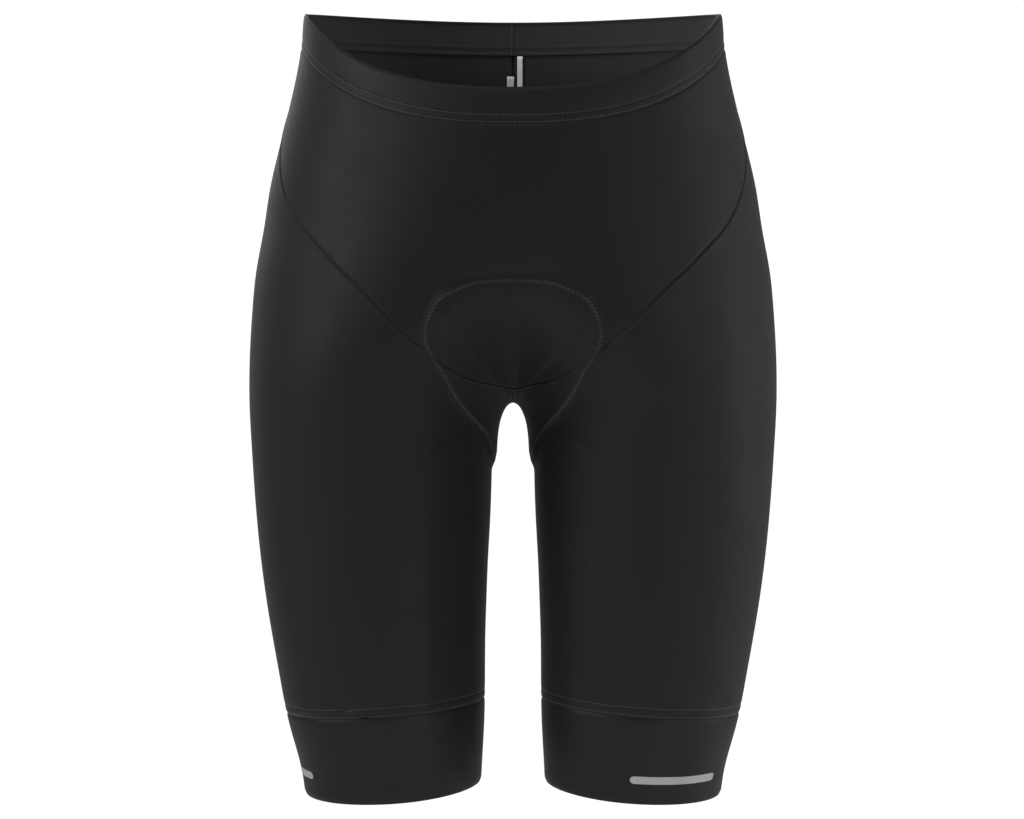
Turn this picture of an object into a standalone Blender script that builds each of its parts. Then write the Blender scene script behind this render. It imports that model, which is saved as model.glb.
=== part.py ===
"""Cycling shorts in their worn shape, hollow, with nobody in them.

Metres, +Z up, -Y the front, +X the wearer's left. The origin is the centre of the waist opening, level with the top
of the waistband at the sides. The tables and the sizes below are in millimetres, and MM turns them into metres.

Each leg is an oval at every level. Above the crotch the two ovals meet at the middle and make the trunk, so one
smooth wall serves for all the pieces. A place on the wall is given by its level and by how far round it lies:
-1 at the centre front (or the inseam), 0 at the side and 1 at the centre back (or the inseam again).
"""

import math

import bmesh
import bpy
import numpy as np
from mathutils import Vector
from mathutils.bvhtree import BVHTree

MM = 0.001

# The wall, one row for each level. outer: half width. centre: the oval's middle, out from the centre line.
# front, back: the oval's depths along Y. middle: where the side lies along Y. soft: how widely the two ovals
# are rounded into each other.
WALL_COLUMNS = ("level", "outer", "centre", "front", "back", "middle", "soft")
WALL_ROWS = (
    (20.0, 137.6, 0.0, -104.0, 104.0, 0.0, 0.0),
    (0.0, 137.6, 0.0, -105.0, 105.0, 0.0, 0.0),
    (-30.0, 140.6, 1.5, -106.0, 107.5, 0.5, 1.0),
    (-57.0, 146.2, 5.0, -107.5, 111.5, 1.5, 4.0),
    (-90.0, 154.4, 13.0, -109.5, 118.5, 3.0, 10.0),
    (-116.0, 160.4, 23.0, -111.0, 125.0, 4.0, 16.0),
    (-143.0, 164.6, 35.0, -111.5, 131.0, 5.0, 21.0),
    (-169.0, 169.4, 50.0, -110.5, 133.0, 6.0, 24.0),
    (-195.0, 172.1, 65.0, -107.5, 132.0, 7.0, 23.0),
    (-215.0, 173.4, 76.0, -104.0, 128.0, 7.5, 19.0),
    (-232.0, 174.1, 84.5, -99.5, 122.0, 8.0, 15.0),
    (-245.0, 174.3, 90.0, -95.5, 116.5, 8.5, 12.8),
    (-253.5, 174.3, 93.0, -92.5, 112.5, 9.0, 12.0),
    (-281.0, 173.2, 95.4, -84.5, 102.5, 10.0, 12.0),
    (-334.0, 169.8, 94.1, -71.5, 96.0, 12.5, 12.0),
    (-387.0, 163.8, 92.2, -62.0, 92.0, 15.0, 12.0),
    (-440.0, 155.0, 87.9, -52.0, 89.0, 18.0, 12.0),
    (-472.0, 148.6, 84.9, -46.5, 87.0, 20.0, 12.0),
    (-500.0, 141.2, 81.4, -41.5, 85.5, 22.0, 12.0),
    (-525.0, 138.0, 79.5, -38.5, 84.5, 23.0, 12.0),
)

# How far each oval has closed towards the centre line, at the front and at the back: 0 where it is open and 1 at
# the crotch. The last row only carries the slope on.
PINCH_COLUMNS = ("level", "front", "back")
PINCH_ROWS = (
    (20.0, 0.0, 0.0),
    (-30.0, 0.0, 0.0),
    (-90.0, 0.02, 0.0),
    (-116.0, 0.05, 0.02),
    (-143.0, 0.12, 0.06),
    (-169.0, 0.26, 0.17),
    (-195.0, 0.5, 0.4),
    (-215.0, 0.7, 0.64),
    (-232.0, 0.855, 0.83),
    (-245.0, 0.947, 0.943),
    (-253.5, 1.0, 1.0),
    (-263.5, 1.062, 1.062),
)
CROTCH = -253.5

# The inside of each leg under the crotch, and how far it stands from the centre line.
INSEAM_COLUMNS = ("level", "inner")
INSEAM_ROWS = (
    (-253.5, 0.0),
    (-257.0, 6.5),
    (-261.0, 8.9),
    (-266.0, 10.8),
    (-272.0, 12.2),
    (-281.0, 13.2),
    (-301.0, 14.0),
    (-334.0, 15.1),
    (-361.0, 16.6),
    (-387.0, 17.6),
    (-413.0, 18.4),
    (-451.0, 18.7),
    (-475.0, 19.4),
    (-500.0, 20.8),
    (-525.0, 21.6),
)

# The top edge, from the sides to the centre front and the centre back.
FRONT_DIP = 61.3
FRONT_DIP_START, FRONT_DIP_END = 1.65, 1.2
BACK_RISE = 10.0
BACK_RISE_POWER = 1.6
BAND_HEIGHT = 23.0

# The front panel's lower seam: its level by how far round the wall it has come, from the centre front until it
# meets the waistband just behind the side.
FRONT_SEAM_COLUMNS = ("around", "level")
FRONT_SEAM_ROWS = (
    (-1.1, -242.0),
    (-1.0, -243.5),
    (-0.81, -242.0),
    (-0.737, -238.0),
    (-0.667, -226.5),
    (-0.626, -217.0),
    (-0.556, -197.5),
    (-0.505, -184.5),
    (-0.455, -174.5),
    (-0.384, -160.0),
    (-0.334, -151.0),
    (-0.274, -139.0),
    (-0.18, -115.0),
    (-0.08, -86.0),
    (0.0, -59.0),
    (0.08, -32.0),
    (0.2, 12.0),
)

# The seam over each gripper and the hem under it: level at the leg's middle, and slopes outwards and backwards.
GRIPPER_SEAM = (-457.5, -0.07, 0.024)
HEM = (-511.8, -0.062, 0.065)
HEM_MIDDLE = (80.0, 22.0)
GRIPPER_MIDDLE = (85.0, 19.0)

# The seat pad's half width at each level, for its front part and for its back part.
PAD_COLUMNS = ("level", "front_half", "back_half")
PAD_ROWS = (
    (-158.0, 0.0, 46.0),
    (-166.0, 0.0, 68.0),
    (-173.0, 6.0, 79.0),
    (-179.0, 22.0, 85.0),
    (-186.0, 40.5, 89.0),
    (-196.0, 50.5, 93.0),
    (-210.0, 56.5, 94.0),
    (-222.0, 55.5, 90.0),
    (-234.0, 48.5, 83.0),
    (-248.0, 41.5, 71.0),
    (-262.0, 32.5, 54.0),
    (-274.0, 22.5, 36.0),
    (-284.0, 16.0, 24.0),
    (-292.0, 14.0, 17.0),
    (-300.0, 11.0, 12.0),
    (-308.0, 4.0, 4.0),
)
PAD_TOP_FRONT = -179.0
PAD_TOP_BACK = -158.0
PAD_TURN = (-20.0, 35.0)
PAD_RISE = 3.3
PAD_SOFT_EDGE = 14.0
PAD_THICKNESS = 6.0
PAD_EDGE_THICKNESS = 2.4
PAD_CLEARANCE = 1.15
PAD_THIN_STEPS = 2
PAD_WALK_STEP = 2.5
PAD_WALK_LIMIT = 200

SEAM_GAP = 0.3
MIDDLE_GAP = 0.44
CLOTH = 1.2
BAND_CLOTH = 2.0
GRIPPER_CLOTH = 1.4

LABEL_WIDTH = 3.8
LABEL_LENGTH = 48.0
LABEL_THICKNESS = 0.6
LABEL_ACROSS = 5.0
LABEL_CLEARANCE = 0.6

# What lies inside is laid against the cloth by feeling for it from this deep, and this far to each side.
FEEL_DEPTH = 12.0
FEEL_ASIDE = 3.0

# How finely each piece is divided.
HALF_ROUND_STEPS = 40
WALK_STEPS = 60
WALK_CROWDING = 1.2
ROUND_STEPS = 20
CLOSER = 0.05
CLOSING = 0.6
ROWS_OVER_CROTCH, OVER_CROWDING = 11, 1.5
ROWS_UNDER_CROTCH, UNDER_CROWDING = 12, 1.7
FRONT_ROWS = 11
GRIPPER_ROWS = 3
BAND_ROWS = 2
PAD_ROWS_LONG = 34
PAD_STEPS_WIDE = 7
LABEL_ROWS = 12
SAME_POINT = 0.02
SAME_AT_MIDDLE = 0.05
SLOPE_STEP = 0.4
LEAN_STEP = 1.0
SHARP_DEGREES = 40
CORNER_SEARCH = (-0.3, 0.2)
CORNER_HALVINGS = 20
SLANT_ROUNDS = 6
ON_WALL_ROUNDS = 3
SEAM_SLOPE_STEP = 0.01
LEAST_SIZE = 0.01
LEAST_PINCH = 0.001

# Colour and roughness.
LYCRA = ((0.012, 0.012, 0.013, 1.0), 0.55)
ELASTIC = ((0.016, 0.016, 0.017, 1.0), 0.6)
PAD_CLOTH = ((0.035, 0.036, 0.04, 1.0), 0.9)
LABEL_TAPE = ((0.82, 0.82, 0.8, 1.0), 0.7)


def column(rows, names, wanted):
    return np.array([row[names.index(wanted)] for row in rows], float)


def smooth_curve(xs, ys):
    """A natural cubic spline through a table's points, straight beyond its ends."""
    order = np.argsort(xs)
    xs, ys = xs[order], ys[order]
    steps = np.diff(xs)
    count = len(xs)
    matrix = np.eye(count)
    right = np.zeros(count)
    for i in range(1, count - 1):
        matrix[i, i - 1 : i + 2] = steps[i - 1], 2 * (steps[i - 1] + steps[i]), steps[i]
        right[i] = 6 * ((ys[i + 1] - ys[i]) / steps[i] - (ys[i] - ys[i - 1]) / steps[i - 1])
    bend = np.linalg.solve(matrix, right)

    def at(x):
        x = np.clip(np.asarray(x, float), xs[0], xs[-1])
        i = np.clip(np.searchsorted(xs, x) - 1, 0, count - 2)
        left, rest, step = x - xs[i], xs[i + 1] - x, steps[i]
        curved = (bend[i] * rest**3 + bend[i + 1] * left**3) / (6 * step)
        return (
            curved
            + (ys[i] / step - bend[i] * step / 6) * rest
            + (ys[i + 1] / step - bend[i + 1] * step / 6) * left
        )

    return at


WALL = {
    name: smooth_curve(column(WALL_ROWS, WALL_COLUMNS, "level"), column(WALL_ROWS, WALL_COLUMNS, name))
    for name in WALL_COLUMNS[1:]
}
PINCH = {
    name: smooth_curve(column(PINCH_ROWS, PINCH_COLUMNS, "level"), column(PINCH_ROWS, PINCH_COLUMNS, name))
    for name in PINCH_COLUMNS[1:]
}
# The square of this distance is what changes smoothly, because the arch of the crotch is round.
INSEAM_SQUARED = smooth_curve(
    column(INSEAM_ROWS, INSEAM_COLUMNS, "level"), column(INSEAM_ROWS, INSEAM_COLUMNS, "inner") ** 2
)
PAD = {
    name: smooth_curve(column(PAD_ROWS, PAD_COLUMNS, "level"), column(PAD_ROWS, PAD_COLUMNS, name))
    for name in PAD_COLUMNS[1:]
}


def oval(level):
    """The sizes of one leg's oval at a level, widths measured as the softened distance from the centre line."""
    size = {name: WALL[name](level) for name in WALL}
    size["soft"] = np.maximum(size["soft"], 0.0)
    size["centre"] = np.maximum(size["centre"], size["soft"] + LEAST_SIZE)
    size["reach"] = np.hypot(size["outer"], size["soft"]) - size["centre"]
    inner = np.sqrt(np.maximum(INSEAM_SQUARED(level), 0.0) + size["soft"] ** 2)
    for end in ("front", "back"):
        pinch = np.clip(PINCH[end](level), LEAST_PINCH, 1.0)
        open_reach = (size["centre"] - size["soft"]) / pinch
        size["inner_" + end] = np.where(level < CROTCH, size["centre"] - inner, open_reach)
        size["turn_" + end] = np.where(level < CROTCH, math.pi, np.arccos(-pinch))
    return size


def half_round(levels, end):
    """The wall at some levels from the side to the middle: across, along and the distance from the side."""
    size = oval(np.asarray(levels, float)[..., None])
    quarter = np.linspace(0, 1, HALF_ROUND_STEPS + 1)
    inner_turn = math.pi / 2 + (size["turn_" + end] - math.pi / 2) * quarter[1:]
    outer_turn = np.broadcast_to(quarter * math.pi / 2, (*inner_turn.shape[:-1], len(quarter)))
    turn = np.concatenate([outer_turn, inner_turn], -1)
    reach = np.where(turn <= math.pi / 2, size["reach"], size["inner_" + end])
    softened = size["centre"] + reach * np.cos(turn)
    across = np.sqrt(np.maximum(softened**2 - size["soft"] ** 2, 0.0))
    along = size["middle"] + (size[end] - size["middle"]) * np.sin(turn)
    walked = np.cumsum(np.hypot(np.diff(across), np.diff(along)), -1)
    return across, along, np.concatenate([np.zeros_like(walked[..., :1]), walked], -1)


FULL_ROUND = {end: half_round([CROTCH], end)[2][0, -1] for end in ("front", "back")}


def way_along(around, length, level, end):
    """How far from the side a way round lies. The columns run straight down the leg, and above the crotch those
    nearest to the middle close up, because the wall is shorter there."""
    share = abs(around)
    if level < CROTCH:
        return share * length
    full = FULL_ROUND[end] * float(WALL["outer"](level) / WALL["outer"](CROTCH))
    spare = max(full - length, LEAST_SIZE)
    return share * full - spare * share ** (CLOSING * full / spare)


def places(levels, around, gap=0.0):
    """Points of the wall one above another, kept a gap clear of the centre line and the inseam."""
    end = "front" if around < 0 else "back"
    line = []
    for level, across, along, walked in zip(levels, *half_round(levels, end)):
        wanted = min(way_along(around, walked[-1], level, end), walked[-1] - gap)
        line.append((np.interp(wanted, walked, across), np.interp(wanted, walked, along), level))
    return np.array(line)


def place(level, around, gap=0.0):
    return places([level], around, gap)[0]


def field(points):
    """Below 0 inside the oval of the nearer leg and above 0 outside it."""
    size = oval(points[..., 2])
    softened = np.hypot(points[..., 0], size["soft"])
    forward = points[..., 1] < size["middle"]
    inner = np.where(forward, size["inner_front"], size["inner_back"])
    wide = np.where(softened > size["centre"], size["reach"], inner)
    deep = np.where(forward, size["middle"] - size["front"], size["back"] - size["middle"])
    return ((softened - size["centre"]) / wide) ** 2 + ((points[..., 1] - size["middle"]) / deep) ** 2 - 1


def slope(points):
    """Which way the field grows, and how fast for each millimetre."""
    rise = np.empty_like(points)
    for axis in range(3):
        shift = np.zeros(3)
        shift[axis] = SLOPE_STEP
        rise[..., axis] = (field(points + shift) - field(points - shift)) / (2 * SLOPE_STEP)
    return rise


def outward(points):
    rise = slope(points)
    return rise / np.linalg.norm(rise, axis=-1, keepdims=True)


def pad_half_width(level, along):
    back_share = np.clip((along - PAD_TURN[0]) / (PAD_TURN[1] - PAD_TURN[0]), 0, 1)
    back_share = back_share**2 * (3 - 2 * back_share)
    return PAD["front_half"](level) * (1 - back_share) + PAD["back_half"](level) * back_share


def inside_pad(points):
    """How far a point of the wall lies inside the pad's outline, as seen from the front or the back."""
    level, along = points[..., 2], points[..., 1]
    half = pad_half_width(level, along)
    above, below = pad_half_width(level + LEAN_STEP, along), pad_half_width(level - LEAN_STEP, along)
    lean = (above - below) / (2 * LEAN_STEP)
    top = np.where(along < PAD_TURN[0], PAD_TOP_FRONT, PAD_TOP_BACK)
    beside = (half - np.abs(points[..., 0])) / np.hypot(1, lean)
    return np.minimum(beside, top - level)


def pad_rise(points):
    """The cloth is lifted where the pad lies under it."""
    share = np.clip(inside_pad(points) / PAD_SOFT_EDGE + 0.5, 0, 1)
    return PAD_RISE * share**2 * (3 - 2 * share)


def on_wall(points, out=0.0):
    """The finished outer face of the cloth at these points of the wall, or that face moved out."""
    moved = points + outward(points) * (pad_rise(points) + out)[..., None]
    nearest = np.minimum(points[..., 0], MIDDLE_GAP / 2)
    moved[..., 0] = np.maximum(moved[..., 0], nearest)
    return moved


def top_edge(around):
    """The level of the waistband's top edge."""
    along = place(0.0, around)[1]
    facing = min(abs(along / WALL["front" if around < 0 else "back"](0.0)), 1.0)
    if around < 0:
        return -FRONT_DIP * (1 - (1 - facing**FRONT_DIP_START) ** FRONT_DIP_END)
    return BACK_RISE * (1 - (1 - facing) ** BACK_RISE_POWER)


def band_edge(around):
    """The level of the waistband's lower edge."""
    return top_edge(around) - BAND_HEIGHT


FRONT_SEAM = smooth_curve(
    column(FRONT_SEAM_ROWS, FRONT_SEAM_COLUMNS, "around"), column(FRONT_SEAM_ROWS, FRONT_SEAM_COLUMNS, "level")
)


def front_corner():
    """How far round the front panel's seam meets the waistband, found by halving."""
    low, high = CORNER_SEARCH
    for _ in range(CORNER_HALVINGS):
        middle = (low + high) / 2
        if FRONT_SEAM(middle) < band_edge(middle):
            low = middle
        else:
            high = middle
    return low


FRONT_CORNER = front_corner()


def slanted(plane, middle, around):
    """The level at which a slanting cut through the leg crosses one way round it."""
    level = plane[0]
    for _ in range(SLANT_ROUNDS):
        point = place(level, around)
        level = plane[0] + plane[1] * (point[0] - middle[0]) + plane[2] * (point[1] - middle[1])
    return level


def down_the_wall(around, top, bottom, shares, gap=0.0):
    """Points from one level to another at these shares of the way, measured along the wall."""
    depth = np.linspace(0, 1, WALK_STEPS + 1)
    levels = top + (bottom - top) * np.sin(depth * math.pi / 2) ** WALK_CROWDING
    line = places(levels, around, gap)
    walked = np.concatenate([[0.0], np.cumsum(np.linalg.norm(np.diff(line, axis=0), axis=1))])
    return places(np.interp(np.asarray(shares) * walked[-1], walked, levels), around, gap)


def ways_round():
    """How far round the wall each column of points lies, closer together by the centre line and the inseam.
    The column nearest to the front panel's corner is moved on to it."""
    even = np.linspace(-1, 1, 2 * ROUND_STEPS + 1)
    ways = even + CLOSER * np.sin(even * math.pi) * np.abs(even)
    ways[np.abs(ways - FRONT_CORNER).argmin()] = FRONT_CORNER
    return ways


AROUND = ways_round()


def seam_clearance(around):
    """How far an edge beside the front seam is dropped or raised, to stay clear measured square to the seam."""
    before, after = (place(FRONT_SEAM(w), w) for w in (around - SEAM_SLOPE_STEP, around + SEAM_SLOPE_STEP))
    run = math.hypot(after[0] - before[0], after[1] - before[1])
    return SEAM_GAP / 2 * math.hypot(1, (after[2] - before[2]) / run)


def collection_for(name):
    collection = bpy.data.collections.new(name)
    bpy.context.scene.collection.children.link(collection)
    return collection


def material(name, finish):
    colour, roughness = finish
    made = bpy.data.materials.new(name)
    made.use_nodes = True
    shader = made.node_tree.nodes["Principled BSDF"]
    shader.inputs["Base Color"].default_value = colour
    shader.inputs["Roughness"].default_value = roughness
    shader.inputs["Metallic"].default_value = 0.0
    return made


def sheet_of(name, grid, closed, other_side):
    """An open sheet through rows of points, in millimetres, with neighbours that meet made one."""
    mesh = bpy.data.meshes.new(name)
    made = bmesh.new()
    way = np.array([-1.0 if other_side else 1.0, 1.0, 1.0]) * MM
    rows = [[made.verts.new(np.asarray(point) * way) for point in row] for row in grid]
    for upper, lower in zip(rows, rows[1:]):
        for i in range(len(upper) if closed else len(upper) - 1):
            after = (i + 1) % len(upper)
            corners = (upper[i], lower[i], lower[after], upper[after])
            made.faces.new((corners[0], *reversed(corners[1:])) if other_side else corners)
    bmesh.ops.remove_doubles(made, verts=made.verts, dist=SAME_POINT * MM)
    made.to_mesh(mesh)
    made.free()
    return mesh


def shell(name, grid, thickness, finish, collection, closed=False, other_side=False, both_sides=False):
    """A piece of cloth: its outer face through a grid of points, and its wall turned inwards from there."""
    mesh = sheet_of(name, grid, closed, other_side)
    mesh.materials.append(finish)
    piece = bpy.data.objects.new(name, mesh)
    collection.objects.link(piece)
    if both_sides:
        mirror = piece.modifiers.new("other side", "MIRROR")
        mirror.merge_threshold = SAME_AT_MIDDLE * MM
    wall = piece.modifiers.new("wall", "SOLIDIFY")
    wall.thickness = thickness * MM
    wall.offset = -1
    wall.use_even_offset = True
    mesh.shade_smooth()
    mesh.set_sharp_from_angle(angle=math.radians(SHARP_DEGREES))
    return piece


def finished(grid, out=0.0):
    return [list(on_wall(np.array(row), out)) for row in grid]


def make_waistband(collection, finish):
    grid = []
    for share in np.linspace(0, 1, BAND_ROWS + 1):
        grid.append([place(top_edge(w) - share * (BAND_HEIGHT - SEAM_GAP / 2), w) for w in AROUND])
    return shell("waistband", finished(grid), BAND_CLOTH, finish, collection, both_sides=True)


def make_front_panel(collection, finish):
    columns = []
    for w in AROUND[AROUND <= FRONT_CORNER]:
        top = band_edge(w) - SEAM_GAP / 2
        bottom = min(FRONT_SEAM(w) + seam_clearance(w), top)
        columns.append(down_the_wall(w, top, bottom, np.linspace(0, 1, FRONT_ROWS + 1)))
    half = [list(row) for row in zip(*columns)]
    return shell("front_panel", finished(half), CLOTH, finish, collection, both_sides=True)


def leg_grid():
    """One leg panel: down from the front seam and the waistband to the gripper, round from inseam to inseam."""
    over = 1 - np.linspace(1, 0, ROWS_OVER_CROTCH + 1) ** OVER_CROWDING
    under = np.linspace(0, 1, ROWS_UNDER_CROTCH + 1)[1:] ** UNDER_CROWDING
    columns = []
    for w in AROUND:
        top = band_edge(w) - SEAM_GAP / 2
        if w <= FRONT_CORNER:
            drop = seam_clearance(w) * (2 if w == FRONT_CORNER else 1)
            top = min(top, FRONT_SEAM(w) - drop)
        bottom = slanted(GRIPPER_SEAM, GRIPPER_MIDDLE, w) + SEAM_GAP / 2
        upper = down_the_wall(w, top, CROTCH, over, MIDDLE_GAP / 2)
        lower = down_the_wall(w, CROTCH, bottom, under, MIDDLE_GAP / 2)
        columns.append(np.concatenate([upper, lower]))
    return [list(row) for row in zip(*columns)]


def gripper_grid():
    columns = []
    for w in AROUND[:-1]:
        top = slanted(GRIPPER_SEAM, GRIPPER_MIDDLE, w) - SEAM_GAP / 2
        bottom = slanted(HEM, HEM_MIDDLE, w)
        columns.append(down_the_wall(w, top, bottom, np.linspace(0, 1, GRIPPER_ROWS + 1)))
    return [list(row) for row in zip(*columns)]


def rise_line(end):
    """The centre line of the wall from the pad's top edge down to the crotch, front or back."""
    around, top = (-1, PAD_TOP_FRONT) if end == "front" else (1, PAD_TOP_BACK)
    return down_the_wall(around, top - LEAST_SIZE, CROTCH, np.linspace(0, 1, PAD_ROWS_LONG // 2 + 1))


def walk_sideways(start):
    """Points along the wall from the centre line to the pad's edge, square to the centre line."""
    across = np.array([1.0, 0.0, 0.0])
    facing = outward(start)
    facing[0] = 0
    facing /= np.linalg.norm(facing)
    line, heading = [start], across
    while inside_pad(line[-1]) > 0 and len(line) < PAD_WALK_LIMIT:
        point = line[-1] + heading * PAD_WALK_STEP
        for _ in range(ON_WALL_ROUNDS):
            rise = slope(point)
            flat = across * rise[0] + facing * (rise @ facing)
            point = point - flat * field(point) / (flat @ flat)
        heading = (point - line[-1]) / np.linalg.norm(point - line[-1])
        line.append(point)
    return np.array(line)


def inner_faces(pieces):
    """The finished walls of some pieces as one tree that rays can be cast at."""
    graph = bpy.context.evaluated_depsgraph_get()
    joined = bmesh.new()
    for piece in pieces:
        joined.from_mesh(piece.evaluated_get(graph).to_mesh())
    tree = BVHTree.FromBMesh(joined)
    joined.free()
    return tree


def laid_inside(row, walls, clearance):
    """Points moved in from the wall until they lie just clear of the cloth that is really there.

    The cloth is felt for at each point and a little to all sides of it, so that no seam's gap is missed."""
    laid = []
    for point, way, rise in zip(row, outward(row), pad_rise(row)):
        steepest = np.abs(way).argmax()
        beside = np.cross(way, np.roll(np.eye(3)[steepest], 1))
        above = np.cross(way, beside)
        reach = FEEL_DEPTH + rise - CLOTH
        for shift in (0 * way, beside, -beside, above, -above):
            start = Vector((point - way * FEEL_DEPTH + shift * FEEL_ASIDE) * MM)
            found = walls.ray_cast(start, Vector(way), 2 * FEEL_DEPTH * MM)[3]
            if found is not None:
                reach = min(reach, found / MM)
        laid.append(point + way * (reach - FEEL_DEPTH - clearance))
    return laid


def make_pad(collection, finish, walls):
    grid = []
    for start in np.concatenate([rise_line("front"), rise_line("back")[-2::-1]]):
        line = walk_sideways(start)
        count = np.arange(len(line))
        steps = np.linspace(0, len(line) - 1, PAD_STEPS_WIDE + 1)
        row = np.column_stack([np.interp(steps, count, line[:, axis]) for axis in range(3)])
        grid.append(laid_inside(row, walls, PAD_CLEARANCE))
    pad = shell("seat_pad", grid, PAD_THICKNESS, finish, collection, both_sides=True)
    edge = pad.vertex_groups.new(name="thick")
    for i, row in enumerate(grid):
        for j in range(PAD_STEPS_WIDE + 1):
            inward = min(i, len(grid) - 1 - i, PAD_STEPS_WIDE - j)
            edge.add([i * (PAD_STEPS_WIDE + 1) + j], min(1.0, inward / PAD_THIN_STEPS), "REPLACE")
    wall = pad.modifiers["wall"]
    wall.vertex_group = edge.name
    wall.thickness_vertex_group = PAD_EDGE_THICKNESS / PAD_THICKNESS
    return pad


def make_label(collection, finish, walls):
    """A narrow strip on the inside, sewn in under the waistband beside the centre back."""
    top = band_edge(1) - LABEL_CLEARANCE
    grid = []
    for level in np.linspace(top, top - LABEL_LENGTH, LABEL_ROWS + 1):
        across, along, walked = (line[0] for line in half_round([level], "back"))
        row = []
        for side in (-LABEL_WIDTH / 2, LABEL_WIDTH / 2):
            wanted = walked[-1] - LABEL_ACROSS - side
            row.append((np.interp(wanted, walked, across), np.interp(wanted, walked, along), level))
        grid.append(laid_inside(np.array(row), walls, LABEL_CLEARANCE))
    return shell("care_label", grid, LABEL_THICKNESS, finish, collection)


def main():
    for thing in list(bpy.data.objects):
        bpy.data.objects.remove(thing)
    shorts = collection_for("cycling_shorts")
    lycra = material("lycra", LYCRA)
    elastic = material("elastic", ELASTIC)
    make_waistband(shorts, elastic)
    leg = leg_grid()
    gripper = gripper_grid()
    panels = [
        make_front_panel(shorts, lycra),
        shell("left_leg_panel", finished(leg), CLOTH, lycra, shorts),
        shell("right_leg_panel", finished(leg), CLOTH, lycra, shorts, other_side=True),
    ]
    shell("left_gripper", finished(gripper), GRIPPER_CLOTH, elastic, shorts, closed=True)
    shell("right_gripper", finished(gripper), GRIPPER_CLOTH, elastic, shorts, closed=True, other_side=True)
    walls = inner_faces(panels)
    make_pad(shorts, material("pad", PAD_CLOTH), walls)
    make_label(shorts, material("label", LABEL_TAPE), walls)


main()
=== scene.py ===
# Cycling shorts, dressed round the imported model. Tables and sizes are in millimetres, objects in metres.
import math

import bmesh
import bpy
import numpy as np
from mathutils import Matrix, Vector
from mathutils.bvhtree import BVHTree


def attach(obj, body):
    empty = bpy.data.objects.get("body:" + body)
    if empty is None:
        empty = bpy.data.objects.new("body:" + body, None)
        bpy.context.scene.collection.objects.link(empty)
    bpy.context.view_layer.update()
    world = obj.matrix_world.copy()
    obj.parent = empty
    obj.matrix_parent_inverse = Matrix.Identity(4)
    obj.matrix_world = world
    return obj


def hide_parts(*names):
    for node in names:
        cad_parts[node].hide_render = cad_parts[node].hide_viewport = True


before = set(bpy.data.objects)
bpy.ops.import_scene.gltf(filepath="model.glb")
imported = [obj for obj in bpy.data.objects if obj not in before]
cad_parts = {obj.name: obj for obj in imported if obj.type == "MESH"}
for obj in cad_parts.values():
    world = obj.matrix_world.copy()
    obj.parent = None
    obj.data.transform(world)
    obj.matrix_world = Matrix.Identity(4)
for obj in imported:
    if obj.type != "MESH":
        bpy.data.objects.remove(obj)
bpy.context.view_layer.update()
mm = 0.001
print("frame loaded:", len(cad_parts), "nodes")

# The camera stands level in front, as far off as the photograph's perspective asks.
cameraView = {
    "distance": 1700,
    "across": -0.66,
    "level": -261,
    "millimetresAPixel": 0.66,
    "pixelsWide": 1024,
    "sensor": 36,
    "farthest": 50000,
}


def makeCamera(view):
    seen = view["millimetresAPixel"] * view["pixelsWide"]
    data = bpy.data.cameras.new("camera")
    data.sensor_width = view["sensor"]
    data.lens = view["sensor"] * view["distance"] / seen
    data.clip_end = view["farthest"] * mm
    camera = bpy.data.objects.new("camera", data)
    camera.location = Vector((view["across"], -view["distance"], view["level"])) * mm
    camera.rotation_euler = (math.radians(90), 0, 0)
    bpy.context.scene.collection.objects.link(camera)
    bpy.context.scene.camera = camera


makeCamera(cameraView)
print("camera set")

# The wall that all the cloth lies on. Each leg is an oval at every level, and above the crotch the two
# ovals meet and make the trunk. A place on it is a level and how far round it lies: -1 at the centre front
# or the inseam, 0 at the side, 1 at the centre back or the inseam again.
wall = {
    "columns": ("level", "outer", "centre", "front", "back", "middle", "soft"),
    "rows": (
        (20, 137.6, 0, -104, 104, 0, 0),
        (0, 137.6, 0, -105, 105, 0, 0),
        (-30, 140.6, 1.5, -106, 107.5, 0.5, 1),
        (-57, 146.2, 5, -107.5, 111.5, 1.5, 4),
        (-90, 154.4, 13, -109.5, 118.5, 3, 10),
        (-116, 160.4, 23, -111, 125, 4, 16),
        (-143, 164.6, 35, -111.5, 131, 5, 21),
        (-169, 169.4, 50, -110.5, 133, 6, 24),
        (-195, 172.1, 65, -107.5, 132, 7, 23),
        (-215, 173.4, 76, -104, 128, 7.5, 19),
        (-232, 174.1, 84.5, -99.5, 122, 8, 15),
        (-245, 174.3, 90, -95.5, 116.5, 8.5, 12.8),
        (-253.5, 174.3, 93, -92.5, 112.5, 9, 12),
        (-281, 173.2, 95.4, -84.5, 102.5, 10, 12),
        (-334, 169.8, 94.1, -71.5, 96, 12.5, 12),
        (-387, 163.8, 92.2, -62, 92, 15, 12),
        (-440, 155, 87.9, -52, 89, 18, 12),
        (-472, 148.6, 84.9, -46.5, 87, 20, 12),
        (-500, 141.2, 81.4, -41.5, 85.5, 22, 12),
        (-525, 138, 79.5, -38.5, 84.5, 23, 12),
    ),
    "crotch": -253.5,
    "roundSteps": 60,
    "levelSteps": 60,
    "levelCrowding": 1.2,
    "closing": 0.6,
    "leastClosed": 0.001,
    "least": 0.01,
    "slopeStep": 0.4,
    "seamGap": -0.2,  # neighbours run a hair over each other, so no light comes through a seam
    "rowsBySeam": (0.0, 0.4, 0.9, 1.6),  # how far from a seam the closest rows of a cloth lie
    "mostBySeam": 0.2,
    "columnsClear": 0.004,
    "columnCrowding": 0.05,
}
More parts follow.
